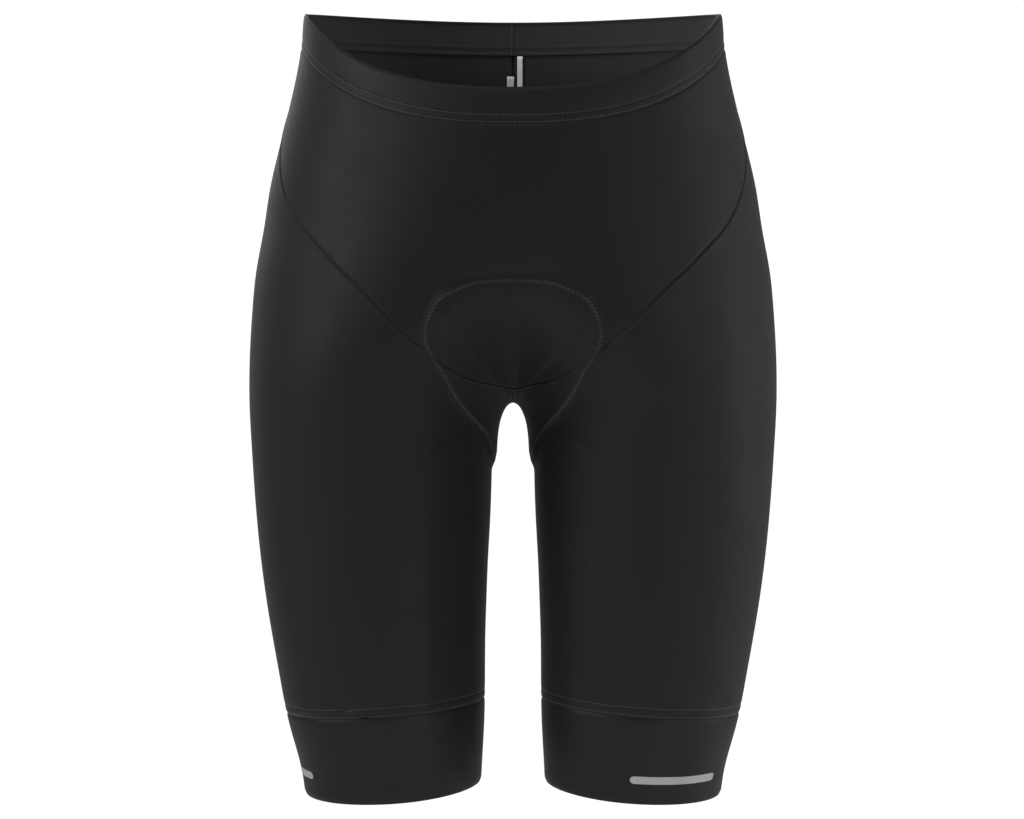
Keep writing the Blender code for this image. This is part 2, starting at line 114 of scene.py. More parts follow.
# How far each oval has closed towards the centre line.
pinch = {
    "columns": ("level", "front", "back"),
    "rows": (
        (20, 0, 0),
        (-30, 0, 0),
        (-90, 0.02, 0),
        (-116, 0.05, 0.02),
        (-143, 0.12, 0.06),
        (-169, 0.26, 0.17),
        (-195, 0.5, 0.4),
        (-215, 0.7, 0.64),
        (-232, 0.855, 0.83),
        (-245, 0.947, 0.943),
        (-253.5, 1, 1),
        (-263.5, 1.062, 1.062),
    ),
}
# The inside of each leg under the crotch, from the centre line.
inseam = {
    "columns": ("level", "inner"),
    "rows": (
        (-253.5, 0),
        (-257, 6.5),
        (-261, 8.9),
        (-266, 10.8),
        (-272, 12.2),
        (-281, 13.2),
        (-301, 14),
        (-334, 15.1),
        (-361, 16.6),
        (-387, 17.6),
        (-413, 18.4),
        (-451, 18.7),
        (-475, 19.4),
        (-500, 20.8),
        (-525, 21.6),
    ),
}
# The front panel's lower seam.
frontSeam = {
    "columns": ("around", "level"),
    "rows": (
        (-1.1, -242),
        (-1, -243.5),
        (-0.81, -242),
        (-0.737, -238),
        (-0.667, -226.5),
        (-0.626, -217),
        (-0.556, -197.5),
        (-0.505, -184.5),
        (-0.455, -174.5),
        (-0.384, -160),
        (-0.334, -151),
        (-0.274, -139),
        (-0.18, -115),
        (-0.08, -86),
        (0, -59),
        (0.08, -32),
        (0.2, 12),
    ),
}
# The seat pad's half width, at the front and at the back, and how far it lifts the cloth over it.
padShape = {
    "columns": ("level", "frontHalf", "backHalf"),
    "rows": (
        (-158, 0, 46),
        (-166, 0, 68),
        (-173, 6, 79),
        (-179, 22, 85),
        (-186, 40.5, 89),
        (-196, 50.5, 93),
        (-210, 56.5, 94),
        (-222, 55.5, 90),
        (-234, 48.5, 83),
        (-248, 41.5, 71),
        (-262, 32.5, 54),
        (-274, 22.5, 36),
        (-284, 16, 24),
        (-292, 14, 17),
        (-300, 11, 12),
        (-308, 4, 4),
    ),
    "topFront": -179.0,
    "topBack": -158.0,
    "turn": (-20.0, 35.0),
    "cornerSoft": 9.0,
    "rise": 3.1,
    "edgeFrom": 0.35,
    "edgeWide": 5.5,
    "ridge": 0.75,
    "ridgeWide": 1.5,
    # the thick front of the foam: from its level, half width there, how fast it narrows, height and softness
    "swellFrom": -205.0,
    "swellHalf": 46.0,
    "swellNarrows": 0.86,
    "swell": 2.8,
    "swellSoft": 7.0,
    "swellEdge": 12.0,
    "swellDown": 70.0,
    "swellKept": 0.42,
}
trim = {  # edges and seams that the pieces share
    "frontDip": 61.3,
    "frontDipPowers": (1.65, 1.2),
    "backRise": 10.0,
    "backRisePower": 1.6,
    "bandHeight": 23.0,
    "gripperSeam": (-457.5, -0.07, 0.024),
    "gripperMiddle": (85.0, 19.0),
    "hem": (-511.8, -0.062, 0.065),
    "hemMiddle": (80.0, 22.0),
    "cutRounds": 6,
    "spreadStep": 0.01,
    "cornerBetween": (-0.3, 0.2),
    "cornerRounds": 20,
}


def tableColumn(table, name):
    return np.array([row[table["columns"].index(name)] for row in table["rows"]], float)


def smoothCurve(xs, ys):  # natural cubic spline, flat past its ends
    order = np.argsort(xs)
    xs, ys = xs[order], ys[order]
    steps = np.diff(xs)
    count = len(xs)
    matrix = np.eye(count)
    right = np.zeros(count)
    for i in range(1, count - 1):
        matrix[i, i - 1 : i + 2] = steps[i - 1], 2 * (steps[i - 1] + steps[i]), steps[i]
        right[i] = 6 * ((ys[i + 1] - ys[i]) / steps[i] - (ys[i] - ys[i - 1]) / steps[i - 1])
    bend = np.linalg.solve(matrix, right)

    def at(x):
        x = np.clip(np.asarray(x, float), xs[0], xs[-1])
        i = np.clip(np.searchsorted(xs, x) - 1, 0, count - 2)
        left, rest, step = x - xs[i], xs[i + 1] - x, steps[i]
        curved = (bend[i] * rest**3 + bend[i + 1] * left**3) / (6 * step)
        return (
            curved
            + (ys[i] / step - bend[i] * step / 6) * rest
            + (ys[i + 1] / step - bend[i + 1] * step / 6) * left
        )

    return at


def curvesOf(table):
    key = table["columns"][0]
    return {
        name: smoothCurve(tableColumn(table, key), tableColumn(table, name))
        for name in table["columns"][1:]
    }


wallCurves = curvesOf(wall)
pinchCurves = curvesOf(pinch)
padCurves = curvesOf(padShape)
seamLevel = curvesOf(frontSeam)["level"]
inseamSquared = smoothCurve(tableColumn(inseam, "level"), tableColumn(inseam, "inner") ** 2)


def unit(vectors):
    return vectors / np.linalg.norm(vectors, axis=-1, keepdims=True)


def walkedAlong(line):
    return np.concatenate([[0.0], np.cumsum(np.linalg.norm(np.diff(line, axis=0), axis=1))])


def smoothStep(value):
    value = np.clip(value, 0, 1)
    return value**2 * (3 - 2 * value)


def ovalAt(level):
    size = {name: curve(level) for name, curve in wallCurves.items()}
    size["soft"] = np.maximum(size["soft"], 0.0)
    size["centre"] = np.maximum(size["centre"], size["soft"] + wall["least"])
    size["reach"] = np.hypot(size["outer"], size["soft"]) - size["centre"]
    inner = np.sqrt(np.maximum(inseamSquared(level), 0.0) + size["soft"] ** 2)
    for end in ("front", "back"):
        closed = np.clip(pinchCurves[end](level), wall["leastClosed"], 1.0)
        openReach = (size["centre"] - size["soft"]) / closed
        under = level < wall["crotch"]
        size[end + "Inner"] = np.where(under, size["centre"] - inner, openReach)
        size[end + "Turn"] = np.where(under, math.pi, np.arccos(-closed))
    return size


def bell(distance, wide):
    return np.exp(-((distance / wide) ** 2))


def halfRound(levels, end):  # the wall from the side to the middle, and the way walked along it
    size = ovalAt(np.asarray(levels, float)[..., None])
    quarter = np.linspace(0, 1, wall["roundSteps"] + 1)
    innerTurn = math.pi / 2 + (size[end + "Turn"] - math.pi / 2) * quarter[1:]
    outerTurn = np.broadcast_to(quarter * math.pi / 2, (*innerTurn.shape[:-1], len(quarter)))
    turn = np.concatenate([outerTurn, innerTurn], -1)
    reach = np.where(turn <= math.pi / 2, size["reach"], size[end + "Inner"])
    softened = size["centre"] + reach * np.cos(turn)
    across = np.sqrt(np.maximum(softened**2 - size["soft"] ** 2, 0.0))
    along = size["middle"] + (size[end] - size["middle"]) * np.sin(turn)
    walked = np.cumsum(np.hypot(np.diff(across), np.diff(along)), -1)
    return across, along, np.concatenate([np.zeros_like(walked[..., :1]), walked], -1)


fullRound = {end: halfRound([wall["crotch"]], end)[2][0, -1] for end in ("front", "back")}


def wayAlong(around, length, level, end):
    share = abs(around)
    if level < wall["crotch"]:
        return share * length
    full = fullRound[end] * float(wallCurves["outer"](level) / wallCurves["outer"](wall["crotch"]))
    spare = max(full - length, wall["least"])
    return share * full - spare * share ** (wall["closing"] * full / spare)


def places(levels, around, gap=0.0):
    end = "front" if around < 0 else "back"
    line = []
    for level, across, along, walked in zip(levels, *halfRound(levels, end)):
        wanted = min(wayAlong(around, walked[-1], level, end), walked[-1] - gap)
        line.append((np.interp(wanted, walked, across), np.interp(wanted, walked, along), level))
    return np.array(line)


def place(level, around, gap=0.0):
    return places([level], around, gap)[0]


def field(points):
    size = ovalAt(points[..., 2])
    softened = np.hypot(points[..., 0], size["soft"])
    forward = points[..., 1] < size["middle"]
    inner = np.where(forward, size["frontInner"], size["backInner"])
    wide = np.where(softened > size["centre"], size["reach"], inner)
    deep = np.where(forward, size["middle"] - size["front"], size["back"] - size["middle"])
    return ((softened - size["centre"]) / wide) ** 2 + ((points[..., 1] - size["middle"]) / deep) ** 2 - 1


def slope(points):
    step = wall["slopeStep"]
    rise = np.empty_like(points)
    for axis in range(3):
        shift = np.zeros(3)
        shift[axis] = step
        rise[..., axis] = (field(points + shift) - field(points - shift)) / (2 * step)
    return rise


def outward(points):
    return unit(slope(points))


def topEdge(around):
    end = "front" if around < 0 else "back"
    facing = min(abs(place(0.0, around)[1] / wallCurves[end](0.0)), 1.0)
    if around < 0:
        first, second = trim["frontDipPowers"]
        return -trim["frontDip"] * (1 - (1 - facing**first) ** second)
    return trim["backRise"] * (1 - (1 - facing) ** trim["backRisePower"])


def bandEdge(around):
    return topEdge(around) - trim["bandHeight"]


def slantedCut(plane, middle, around):
    level = plane[0]
    for _ in range(trim["cutRounds"]):
        point = place(level, around)
        level = plane[0] + plane[1] * (point[0] - middle[0]) + plane[2] * (point[1] - middle[1])
    return level


def gripperSeamLevel(around):
    return slantedCut(trim["gripperSeam"], trim["gripperMiddle"], around)


def hemLevel(around):
    return slantedCut(trim["hem"], trim["hemMiddle"], around)


def findFrontCorner():  # where the front seam meets the waistband, found by halving
    low, high = trim["cornerBetween"]
    for _ in range(trim["cornerRounds"]):
        middle = (low + high) / 2
        if seamLevel(middle) < bandEdge(middle):
            low = middle
        else:
            high = middle
    return low


frontCorner = findFrontCorner()


def padHalf(level, along):
    first, last = padShape["turn"]
    share = smoothStep((along - first) / (last - first))
    return padCurves["frontHalf"](level) * (1 - share) + padCurves["backHalf"](level) * share


def besidePad(points):
    level, along = points[..., 2], points[..., 1]
    lean = (padHalf(level + 1, along) - padHalf(level - 1, along)) / 2
    return (padHalf(level, along) - np.abs(points[..., 0])) / np.hypot(1, lean)


def insidePad(points):  # with round corners where the top edge meets the sides
    top = np.where(points[..., 1] < padShape["turn"][0], padShape["topFront"], padShape["topBack"])
    beside, under = besidePad(points), top - points[..., 2]
    soft = padShape["cornerSoft"]
    share = np.clip(0.5 + (under - beside) / (2 * soft), 0, 1)
    return under + (beside - under) * share - soft * share * (1 - share)


def padLift(points):
    inside = insidePad(points)
    lift = padShape["rise"] * smoothStep(inside / padShape["edgeWide"] + padShape["edgeFrom"])
    ridge = padShape["ridge"] * bell(inside, padShape["ridgeWide"])
    half = padShape["swellHalf"] + padShape["swellNarrows"] * (points[..., 2] - padShape["swellFrom"])
    swell = smoothStep((half - np.abs(points[..., 0])) / padShape["swellSoft"] + 0.5)
    down = smoothStep((padShape["topFront"] - points[..., 2]) / padShape["swellDown"])
    fading = 1 - (1 - padShape["swellKept"]) * down
    swell *= padShape["swell"] * fading * smoothStep(inside / padShape["swellEdge"])
    return lift + ridge + swell * (points[..., 1] < padShape["turn"][0])


def downTheWall(around, top, bottom, shares, gap=0.0):
    depth = np.linspace(0, 1, wall["levelSteps"] + 1)
    levels = top + (bottom - top) * np.sin(depth * math.pi / 2) ** wall["levelCrowding"]
    walked = walkedAlong(places(levels, around, gap))
    length = walked[-1]
    shares = shares(length) if callable(shares) else shares
    return places(np.interp(shares * length, walked, levels), around, gap)


def seamRows(count, near, both=True, crowding=None):
    # shares of a length with a few rows close to its ends, where the cloth rolls into the seam; with crowding
    # the rows crowd to the start, and only the end has a seam
    def at(length):
        close = np.minimum(np.array(near) / length, wall["mostBySeam"])
        if crowding:
            main = np.linspace(0, 1, count + 1)[1:] ** crowding * (1 - close[-1])
            return np.concatenate([main, 1 - close[-2::-1]])
        main = np.linspace(close[-1], 1 - (close[-1] if both else 0), count + 1)
        parts = [close[:-1], main] + ([1 - close[-2::-1]] if both else [])
        return np.concatenate(parts)

    return at


def waysRound(start, end, count, near=(), crowding=wall["columnCrowding"]):
    even = np.linspace(-1, 1, count + 1)
    ways = even + crowding * np.sin(even * math.pi) * np.abs(even)
    ways = ways[(ways > start + wall["columnsClear"]) & (ways < end - wall["columnsClear"])]
    ends = [start + step for step in near] + [end - step for step in near]
    return np.unique(np.concatenate([ways, [start, end], ends]))


print("wall worked out, front corner at", round(frontCorner, 4))


def pieceOf(name, shape, material):
    mesh = bpy.data.meshes.new(name)
    shape.to_mesh(mesh)
    shape.free()
    mesh.materials.append(material)
    piece = bpy.data.objects.new(name, mesh)
    bpy.context.scene.collection.objects.link(piece)
    return piece


# Cloth is a grid whose vertices are moved to the wall, then given its thickness.
def clothSheet(name, points, cloth):
    rows, columns = points.shape[:2]
    shape = bmesh.new()
    bmesh.ops.create_grid(shape, x_segments=columns - 1, y_segments=rows - 1, size=1)
    shape.verts.ensure_lookup_table()
    across = np.linalg.norm(np.diff(points, axis=1), axis=2).mean(0)
    upward = np.linalg.norm(np.diff(points, axis=0), axis=2).mean(1)
    u = np.concatenate([[0.0], np.cumsum(across)]) * mm
    v = np.concatenate([[0.0], np.cumsum(upward)]) * mm
    for vert, point in zip(shape.verts, points.reshape(-1, 3) * mm):
        vert.co = point
    uv = shape.loops.layers.uv.new("cloth")
    for face in shape.faces:
        face.smooth = True
        for loop in face.loops:
            row, column = divmod(loop.vert.index, columns)
            loop[uv].uv = (u[column], v[row])
    bmesh.ops.remove_doubles(shape, verts=shape.verts, dist=wall["least"] * mm)
    piece = pieceOf(name, shape, cloth["material"])
    thick = piece.modifiers.new("thickness", "SOLIDIFY")
    thick.thickness = cloth["thickness"] * mm
    thick.offset = -1
    if "inside" in cloth:
        piece.data.materials.append(cloth["inside"])
        thick.material_offset = 1
    return piece


def onOtherSide(points):
    turned = points[:, ::-1].copy()
    turned[..., 0] *= -1
    return turned


def bothSides(half):
    return np.concatenate([onOtherSide(half)[:, :-1], half], 1)


def finished(points, out=0.0):
    moved = points + outward(points) * (padLift(points) + out)[..., None]
    moved[..., 0] = np.maximum(moved[..., 0], 0)
    return moved


def clothArea(piece):
    graph = bpy.context.evaluated_depsgraph_get()
    mesh = piece.evaluated_get(graph).to_mesh()
    return sum(face.area for face in mesh.polygons) / 2


def rolledEdge(distance, deep, wide):
    return -deep * bell(distance, wide)


def distancesDown(grid):  # how far each point lies from its column's top and bottom
    steps = np.linalg.norm(np.diff(grid, axis=0), axis=2)
    walked = np.concatenate([np.zeros((1, grid.shape[1])), np.cumsum(steps, 0)])
    return walked, walked[-1] - walked


creaseBow = 0.12


def troughs(grid, ways, creases):
    # each crease: how far round, level, half length, half width, depth, and its lean in degrees
    total = np.zeros(grid.shape[:2])
    half = (fullRound["front"] + fullRound["back"]) / 2
    for way, level, long, wide, deep, lean in creases:
        beside = (ways[None, :] - way) * half
        above = grid[..., 2] - level
        turn = math.radians(lean)
        along = beside * math.cos(turn) + above * math.sin(turn)
        over = -beside * math.sin(turn) + above * math.cos(turn)
        over = over - creaseBow * long * np.cos(along / long)
        total -= deep * bell(over, wide) * np.exp(-((along / long) ** 4))
    return total


def newMaterial(name, finish):
    made = bpy.data.materials.new(name)
    made.use_nodes = True
    shader = made.node_tree.nodes["Principled BSDF"]
    shader.inputs["Base Color"].default_value = (*finish["colour"], 1)
    shader.inputs["Roughness"].default_value = finish["roughness"]
    shader.inputs["Specular IOR Level"].default_value = finish["specular"]
    if "sheen" in finish:
        shader.inputs["Sheen Weight"].default_value = finish["sheen"]
        shader.inputs["Sheen Roughness"].default_value = finish["sheenRoughness"]
    return made, made.node_tree.nodes, made.node_tree.links, shader


def addNode(nodes, kind, inputs=None, **settings):
    node = nodes.new(kind)
    for name, value in settings.items():
        setattr(node, name, value)
    for name, value in (inputs or {}).items():
        node.inputs[name].default_value = value
    return node


def addTone(nodes, links, shader, factor, colour, shares):
    tone = addNode(nodes, "ShaderNodeMix", data_type="RGBA")
    for end, share in zip(("A", "B"), shares):
        tone.inputs[end].default_value = (*[channel * share for channel in colour], 1)
    links.new(factor, tone.inputs["Factor"])
    links.new(tone.outputs["Result"], shader.inputs["Base Color"])


def addRelief(nodes, links, shader, height, strength, deep):
    bump = addNode(nodes, "ShaderNodeBump", {"Strength": strength, "Distance": deep * mm})
    links.new(height, bump.inputs["Height"])
    links.new(bump.outputs["Normal"], shader.inputs["Normal"])


def addGloss(nodes, links, shader, factor, inputs):
    gloss = addNode(nodes, "ShaderNodeMapRange", inputs)
    links.new(factor, gloss.inputs["Value"])
    links.new(gloss.outputs["Result"], shader.inputs["Roughness"])


lycra = {
    "colour": (0.0072, 0.0072, 0.0075),
    "roughness": 0.6,
    "specular": 0.14,
    "sheen": 0.07,
    "sheenRoughness": 0.45,
    "wale": 0.62,
    "course": 0.5,
    "strength": 0.25,
    "height": 0.05,
}
inside = {  # the wrong side of the cloth is greyer and duller
    **lycra,
    "colour": (0.029, 0.029, 0.0297),
    "roughness": 0.75,
    "specular": 0.15,
    "sheen": 0.06,
    "sheenRoughness": 0.5,
    "strength": 0.3,
    "height": 0.06,
}
elastic = {**lycra, "specular": 0.15}
gripper = {
    "colour": (0.0066, 0.0066, 0.007),
    "roughness": 0.54,
    "specular": 0.16,
    "sheen": 0.07,
    "sheenRoughness": 0.4,
    "wale": 0.9,
    "course": 0.75,
    "strength": 0.35,
    "height": 0.07,
}
knit = {  # what all the knits share: the waves of their loops, and the patches of uneven dye
    "scale": 0.314,
    "wavy": 0.6,
    "waveDetail": 0.4,
    "patches": 34.0,
    "patchDetail": 5.0,
    "patchRoughness": 0.6,
    "dye": (0.86, 1.16),
    "glossFrom": (0.3, 0.7),
    "gloss": (-0.04, 0.05),
}


def knitMaterial(name, finish):
    # fine wales and courses that follow the cloth, with an uneven dye and a soft nap
    made, nodes, links, shader = newMaterial(name, finish)
    uv = addNode(nodes, "ShaderNodeUVMap", uv_map="cloth")
    weave = addNode(nodes, "ShaderNodeMath", operation="MULTIPLY")
    for index, (direction, size) in enumerate((("X", finish["wale"]), ("Y", finish["course"]))):
        waves = {
            "Scale": knit["scale"] / (size * mm),
            "Distortion": knit["wavy"],
            "Detail": 1.0,
            "Detail Scale": knit["waveDetail"],
        }
        wave = addNode(nodes, "ShaderNodeTexWave", waves, wave_type="BANDS", bands_direction=direction)
        links.new(uv.outputs["UV"], wave.inputs["Vector"])
        links.new(wave.outputs["Fac"], weave.inputs[index])
    patches = {"Scale": knit["patches"], "Detail": knit["patchDetail"], "Roughness": knit["patchRoughness"]}
    uneven = addNode(nodes, "ShaderNodeTexNoise", patches)
    place3d = addNode(nodes, "ShaderNodeTexCoord")
    links.new(place3d.outputs["Object"], uneven.inputs["Vector"])
    addTone(nodes, links, shader, uneven.outputs["Fac"], finish["colour"], knit["dye"])
    ends = dict(zip(("From Min", "From Max"), knit["glossFrom"]))
    for end, more in zip(("To Min", "To Max"), knit["gloss"]):
        ends[end] = finish["roughness"] + more
    addGloss(nodes, links, shader, uneven.outputs["Fac"], ends)
    addRelief(nodes, links, shader, weave.outputs["Value"], finish["strength"], finish["height"])
    return made


lycraKnit = knitMaterial("lycraKnit", lycra)
lycraInside = knitMaterial("lycraInside", inside)
elasticKnit = knitMaterial("elasticKnit", elastic)
gripperKnit = knitMaterial("gripperKnit", gripper)
print("knits made")


# Stitches are small grains of thread, one after another along a line on the cloth.
thread = {
    "long": 2.3,
    "wide": 0.6,
    "high": 0.5,
    "pitch": 2.7,
    "sunk": 0.05,
    "sides": 8,
    "rings": 4,
    "colour": (0.011, 0.011, 0.0115),
    "roughness": 0.5,
    "specular": 0.4,
    "sheen": 0.3,
    "sheenRoughness": 0.5,
    "plies": 900.0,
    "strength": 0.5,
    "height": 0.05,
}


def threadMaterial(name, finish):
    made, nodes, links, shader = newMaterial(name, finish)
    plies = {"Scale": finish["plies"], "Distortion": 1.0}
    twist = addNode(nodes, "ShaderNodeTexWave", plies, bands_direction="DIAGONAL")
    place3d = addNode(nodes, "ShaderNodeTexCoord")
    links.new(place3d.outputs["Object"], twist.inputs["Vector"])
    addRelief(nodes, links, shader, twist.outputs["Fac"], finish["strength"], finish["height"])
    return made


thread["material"] = threadMaterial("blackThread", thread)


def spaced(line, pitch):
    walked = walkedAlong(line)
    count = max(int(round(walked[-1] / pitch)), 1)
    wanted = (np.arange(count) + 0.5) * walked[-1] / count
    ahead = np.clip(wanted + pitch / 2, 0, walked[-1])
    behind = np.clip(wanted - pitch / 2, 0, walked[-1])

    def at(way):
        return np.stack([np.interp(way, walked, line[:, axis]) for axis in range(3)], -1)

    return at(wanted), unit(at(ahead) - at(behind))


def stitchGrain(settings):
    grain = bmesh.new()
    sides, rings = settings["sides"], settings["rings"]
    bmesh.ops.create_uvsphere(grain, u_segments=sides, v_segments=rings, radius=0.5)
    sizes = Vector((settings["long"], settings["wide"], settings["high"]))
    bmesh.ops.scale(grain, vec=sizes * mm, verts=grain.verts)
    for face in grain.faces:
        face.smooth = True
    mesh = bpy.data.meshes.new("grain")
    grain.to_mesh(mesh)
    grain.free()
    return mesh


def sewnOn(name, settings, placesAndWays):
    # settings gives the thread, placesAndWays the middle, the way ahead and the way out of each stitch
    grain = stitchGrain(settings)
    joined = bmesh.new()
    for middle, ahead, out in placesAndWays:
        side = np.cross(out, ahead)
        turn = Matrix(np.stack([ahead, side, np.cross(ahead, side)], 1)).to_4x4()
        where = Matrix.Translation(Vector(middle) * mm) @ turn
        grain.transform(where)
        joined.from_mesh(grain)
        grain.transform(where.inverted())
    bpy.data.meshes.remove(grain)
    return pieceOf(name, joined, settings["material"])


def outerFace(pieces):  # a tree of the cloths' outer faces, in millimetres
    joined = bmesh.new()
    for piece in pieces:
        joined.from_mesh(piece.data)
    joined.transform(Matrix.Scale(1 / mm, 4))
    tree = BVHTree.FromBMesh(joined)
    joined.free()
    return tree


def laidOn(points, ahead, tree, sunk=0.0):  # brings stitches down on to the cloth that is really there
    laid = []
    for point, way in zip(points, ahead):
        found, out = tree.find_nearest(Vector(point))[:2]
        way = Vector(way) - out * Vector(way).dot(out)
        laid.append((np.array(found - out * sunk), np.array(way.normalized()), np.array(out)))
    return laid


def stitchRow(line, settings, tree, mirrored=False):
    middle, ahead = spaced(line, settings["pitch"])
    turn = np.array([-1.0 if mirrored else 1.0, 1.0, 1.0])
    return laidOn(finished(middle) * turn, ahead * turn, tree, settings["sunk"])


def lineRound(ways, levelAt, gap=0.0):
    return np.array([place(levelAt(way), way, gap) for way in ways])


# Waistband: a turned casing with two rows of coverstitch at its lower edge, joined at the centre back.
band = {
    "thickness": 1.6,
    "material": elasticKnit,
    "inside": lycraInside,
    "columns": 250,
    "rows": 36,
    "rowsBySeam": (0.0, 0.35, 0.8, 1.4),
    "columnsByJoin": (0.003, 0.007),
    "lineSteps": 240,
    "fold": (0.9, 1.3),
    "lowerRoll": (0.35, 0.8),
    "rowsDown": (17.6, 22.1),
    "grooveDeep": 0.3,
    "grooveWide": 1.0,
    "puff": 0.35,
    "joinWide": 0.8,
    "joinDeep": 0.4,
    "flat": (0.69, 0.023),
}


def makeWaistband(cloth):
    ways = waysRound(-1, 1, cloth["columns"], near=cloth["columnsByJoin"])
    shares = seamRows(cloth["rows"], cloth["rowsBySeam"])
    columns = []
    for way in ways:
        top = topEdge(way)
        bottom = bandEdge(way) + wall["seamGap"] / 2
        length = top - bottom
        columns.append(places(top - shares(length) * length, way))
    grid = np.stack(columns, 1)
    down, up = distancesDown(grid)
    out = rolledEdge(down, *cloth["fold"]) + rolledEdge(up, *cloth["lowerRoll"])
    for row in cloth["rowsDown"]:
        out -= cloth["grooveDeep"] * bell(down - row, cloth["grooveWide"])
    first = cloth["rowsDown"][0]
    out += cloth["puff"] * np.sin(np.clip(down / first, 0, 1) * math.pi)
    out -= cloth["joinDeep"] * bell(grid[..., 0], cloth["joinWide"]) * (grid[..., 1] > 0)
    half = finished(grid, out)
    piece = clothSheet("waistbandCloth", bothSides(half)[::-1], cloth)
    tree = outerFace([piece])
    sewn = []
    for row in cloth["rowsDown"]:
        line = lineRound(np.linspace(-1, 1, cloth["lineSteps"]), lambda way: topEdge(way) - row)
        for mirrored in (False, True):
            sewn += stitchRow(line, thread, tree, mirrored)
    stitches = sewnOn("waistbandStitches", thread, sewn)
    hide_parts("waistband")
    for thing in (piece, stitches):
        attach(thing, "root")
    print("waistband made, area", round(clothArea(piece), 4), "stitches", len(sewn))


makeWaistband(band)

# Front panel: from side to side, down to the curved seam.
frontCloth = {
    "thickness": 1.1,
    "material": lycraKnit,
    "inside": lycraInside,
    "columns": 300,
    "rows": 84,
    "columnsByCorner": (0.004,),
    "roll": (0.55, 1.0),
    "flat": (0.40, 0.20),
    "area": 0.047,
}


def seamSpread(way):  # how much longer a step straight down is than one square to the seam
    step = trim["spreadStep"]
    before, after = (place(seamLevel(w), w) for w in (way - step, way + step))
    run = math.hypot(after[0] - before[0], after[1] - before[1])
    return math.hypot(1, (after[2] - before[2]) / run)


def makeFrontPanel(cloth):
    ways = waysRound(-1, frontCorner, cloth["columns"], near=cloth["columnsByCorner"])
    shares = seamRows(cloth["rows"], wall["rowsBySeam"])
    columns, spreads = [], []
    for way in ways:
        spread = seamSpread(way)
        top = bandEdge(way) - wall["seamGap"] / 2
        bottom = min(seamLevel(way) + spread * wall["seamGap"] / 2, top - wall["least"])
        columns.append(downTheWall(way, top, bottom, shares))
        spreads.append(spread)
    grid = np.stack(columns, 1)
    down, up = distancesDown(grid)
    out = rolledEdge(down, *cloth["roll"]) + rolledEdge(up / np.array(spreads), *cloth["roll"])
    half = finished(grid, out)
    piece = clothSheet("frontPanelCloth", bothSides(half)[::-1], cloth)
    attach(piece, "root")
    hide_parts("front_panel")
    print("front panel made, area", round(clothArea(piece), 4))
    return piece


frontPanel = makeFrontPanel(frontCloth)

# Leg panels: round each leg from inseam to inseam, with coverstitch above the gripper.
legCloth = {
    "thickness": 1.1,
    "material": lycraKnit,
    "inside": lycraInside,
    "columns": 190,
    "columnsBySide": (0.002, 0.005),
    "columnCrowding": 0.09,
    "lineSteps": 160,
    "rowsOver": 96,
    "rowsUnder": 96,
    "crowding": 1.5,
    "rowsBySeam": (0.0, 0.4, 0.9, 1.6, 2.4, 3.3, 4.2, 5.0, 5.7, 6.4, 7.1, 8.0),
    "roll": (0.55, 1.0),
    "sideRoll": (0.45, 0.9),
    "lip": (0.38, 1.9, 0.9),  # the raised edge just under the front seam: height, where, half width
    "rowsUp": (1.2, 6.4),
    "grooveDeep": 0.3,
    "grooveWide": 0.9,
    # how far round, level, half length, half width, depth, lean
    "creases": (
        (0.55, -262, 38, 6, 1.6, 14),
        (0.72, -277, 27, 4.5, 1.2, 22),
        (0.48, -284, 30, 5, -0.8, 10),
        (-0.74, -280, 20, 4.5, 0.8, -30),
        (0.4, -398, 34, 7, 0.9, -9),
        (0.5, -418, 26, 6, 0.7, 7),
    ),
    "tuckRight": (
        (-0.4, -454.6, 7.5, 2.4, 1.6, -8),
        (-0.56, -448.5, 8, 2.5, 1.1, 24),
        (-0.47, -459, 10, 1.9, 1.1, -16),
        (-0.27, -459.5, 30, 1.5, -0.8, -4),
        (-0.62, -452.5, 16, 2.4, -0.7, 8),
        (-0.63, -400, 75, 9, -1, 90),
        (-0.36, -330, 34, 9, 0.5, 62),
        (0.62, -345, 24, 6, 0.7, 26),
    ),
    "tuckLeft": (
        (-0.24, -453, 12, 2.4, 1, 7),
        (-0.6, -452, 18, 2.6, -0.6, 4),
        (-0.66, -395, 55, 10, -0.8, 90),
        (0.24, -176, 40, 8, 0.7, 12),
        (0.3, -440, 20, 4, 0.8, -16),
    ),
    "flat": (0.56, 0.46),
    "area": 0.19,
}


